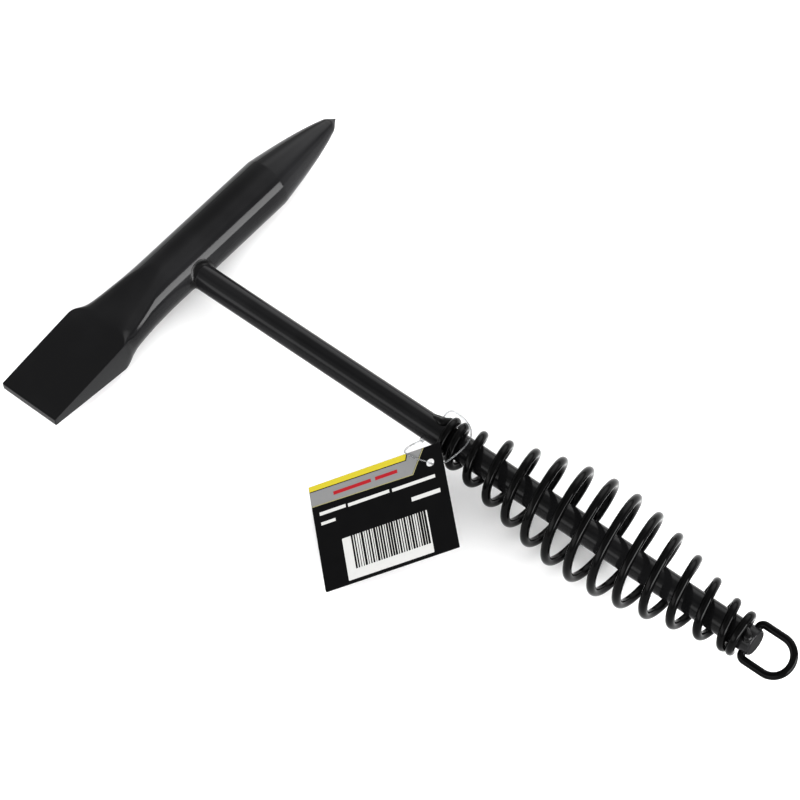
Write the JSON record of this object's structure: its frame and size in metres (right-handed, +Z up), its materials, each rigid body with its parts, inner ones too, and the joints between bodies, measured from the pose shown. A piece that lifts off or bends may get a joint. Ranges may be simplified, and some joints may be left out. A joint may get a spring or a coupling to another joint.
{
  "type": "chipping hammer",
  "caption": "Welder's chipping hammer: forged head with a pick point and an axe-wise chisel, round shaft, barrel spring grip, swinging hanging ring and hang tag.",
  "frame": {"origin": "on the ground under the middle of the hammer's footprint, as it lies on its side (hang tag left out)", "axes": "+X from the head to the tail along the ground, +Y from the chisel to the pick, +Z up"},
  "size_m": [0.2803, 0.1624, 0.0376],
  "materials": {
    "enamel": "gloss",
    "weld": "gloss",
    "wire": "gloss",
    "card": "satin",
    "clear_loop": "gloss"
  },
  "bodies": {
    "hammer": {"head": "enamel", "shaft": "enamel", "head_weld": "weld", "spring_grip": "wire", "spring_weld_front": "weld", "spring_weld_rear": "weld"},
    "ring": {"hang_ring": "wire"},
    "tag": {"tag_card": "card", "tag_loop": "clear_loop", "loop_lock": "clear_loop"}
  },
  "joints": [
    {"name": "ring_swing", "type": "hinge", "parent": "hammer", "child": "ring", "pos_m": [0.12275, -0.0028, 0.02154], "axis": [-0.0213, 0.8878, 0.4597], "range_deg": [-90, 90]},
    {"name": "tag_swing", "type": "hinge", "parent": "hammer", "child": "tag", "pos_m": [-0.00502, -0.0028, 0.01563], "axis": [-0.9989, 0, -0.0462], "range_deg": [0, 30]}
  ]
}
